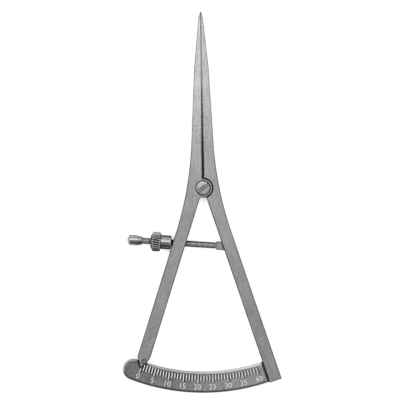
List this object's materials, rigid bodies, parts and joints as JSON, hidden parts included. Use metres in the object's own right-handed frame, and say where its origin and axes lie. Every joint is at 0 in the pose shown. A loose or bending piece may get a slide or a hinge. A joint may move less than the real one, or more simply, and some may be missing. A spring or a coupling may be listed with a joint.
{
  "type": "surgical caliper",
  "caption": "Straight steel caliper: two arms on a half-lapped screw joint, a curved scale between their legs and a thumb nut on a swinging screw spindle that sets the opening.",
  "frame": {"origin": "axis of the arm joint, in the plane of the arms' flat back faces", "axes": "+Y towards the points, +X towards the right arm as seen from the front, +Z out of the front face that carries the scale"},
  "size_m": [0.0589, 0.1418, 0.0072],
  "materials": {
    "arm_steel": "satin ground stainless steel, edges slightly broken",
    "scale_steel": "darker matt stainless steel, with pale engraved graduation and bright bevels",
    "screw_steel": "turned and polished stainless steel",
    "spindle_steel": "threaded stainless steel, machined",
    "nut_steel": "turned and knurled stainless steel, semi-bright"
  },
  "bodies": {
    "right_side": {"right_arm": "arm_steel", "pivot_screw": "screw_steel", "scale_arc": "scale_steel", "scale_rivet": "arm_steel", "hinge_pin": "arm_steel"},
    "left_side": {"left_arm": "arm_steel", "fork_pin": "arm_steel"},
    "spindle": {"swivel_block": "spindle_steel", "spindle_rod": "spindle_steel", "end_cap": "nut_steel"},
    "sleeve": {"nut_sleeve": "nut_steel"},
    "nut": {"thumb_nut": "nut_steel"}
  },
  "joints": [
    {"name": "arm_pivot", "type": "hinge", "parent": "right_side", "child": "left_side", "pos_m": [0, 0, 0.002], "axis": [0, 0, 1], "range_deg": [0, 35.5]},
    {"name": "spindle_swing", "type": "hinge", "parent": "right_side", "child": "spindle", "pos_m": [0.00962, -0.02188, 0.002], "axis": [0, 0, 1], "range_deg": [0, 17.75]},
    {"name": "nut_travel", "type": "slide", "parent": "spindle", "child": "sleeve", "axis": [0.9968, -0.0793, 0], "range_m": [0, 0.01384]},
    {"name": "nut_spin", "type": "hinge", "parent": "sleeve", "child": "nut", "pos_m": [0.00962, -0.02188, 0.002], "axis": [0.9968, -0.0793, 0], "continuous": true}
  ],
  "couplings": [
    {"joint": "spindle_swing", "follows": "arm_pivot", "ratio": 0.5},
    {"joint": "nut_travel", "follows": "arm_pivot", "m_per_rad": 0.022336},
    {"joint": "nut_spin", "follows": "arm_pivot", "ratio": 311.86}
  ]
}
